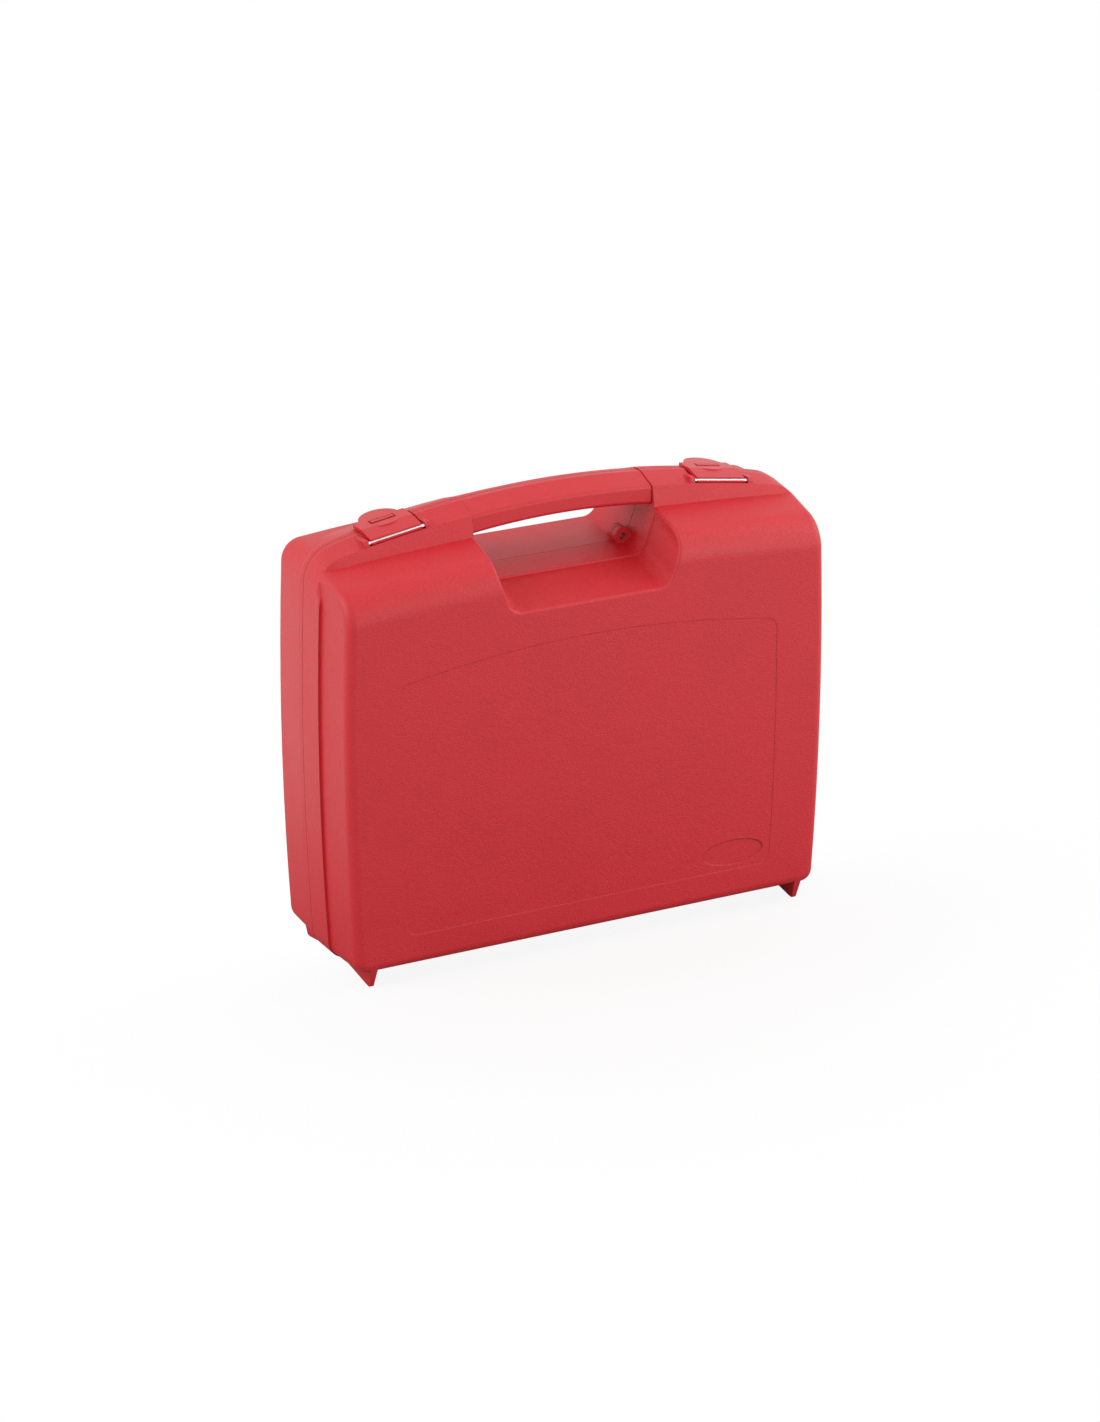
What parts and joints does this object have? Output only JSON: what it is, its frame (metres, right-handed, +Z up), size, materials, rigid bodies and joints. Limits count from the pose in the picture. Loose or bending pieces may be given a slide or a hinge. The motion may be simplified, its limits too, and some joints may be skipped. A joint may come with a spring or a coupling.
{
  "type": "plastic carrying case",
  "caption": "Upright moulded plastic carrying case: hinged half shells with rounded shoulders, an arched split grip in a flared hand well, pinned flip latches, fin feet and a seal eyelet",
  "frame": {"origin": "centre of the bounding box on the ground plane, at the tips of the feet", "axes": "+X across the width to the viewer's right, +Y from the front face to the back, +Z up"},
  "size_m": [0.277, 0.083, 0.2378],
  "materials": {
    "red_plastic": "fine moulded grain",
    "pin_steel": "bright drawn wire"
  },
  "bodies": {
    "front": {"front_shell": "red_plastic", "front_grip": "red_plastic", "left_latch_pin": "pin_steel", "right_latch_pin": "pin_steel", "left_hinge_pin": "pin_steel", "right_hinge_pin": "pin_steel"},
    "lid": {"back_shell": "red_plastic", "back_grip": "red_plastic"},
    "left_flip": {"left_latch": "red_plastic"},
    "right_flip": {"right_latch": "red_plastic"}
  },
  "joints": [
    {"name": "lid_hinge", "type": "hinge", "parent": "front", "child": "lid", "pos_m": [0, 0.0062, 0.0054], "axis": [-1, 0, 0], "range_deg": [0, 150]},
    {"name": "left_latch_pivot", "type": "hinge", "parent": "front", "child": "left_flip", "pos_m": [-0.092, -0.0074, 0.227], "axis": [0.9882, 0, 0.1533], "range_deg": [0, 120]},
    {"name": "right_latch_pivot", "type": "hinge", "parent": "front", "child": "right_flip", "pos_m": [0.092, -0.0074, 0.227], "axis": [0.9882, 0, -0.1533], "range_deg": [0, 120]}
  ]
}
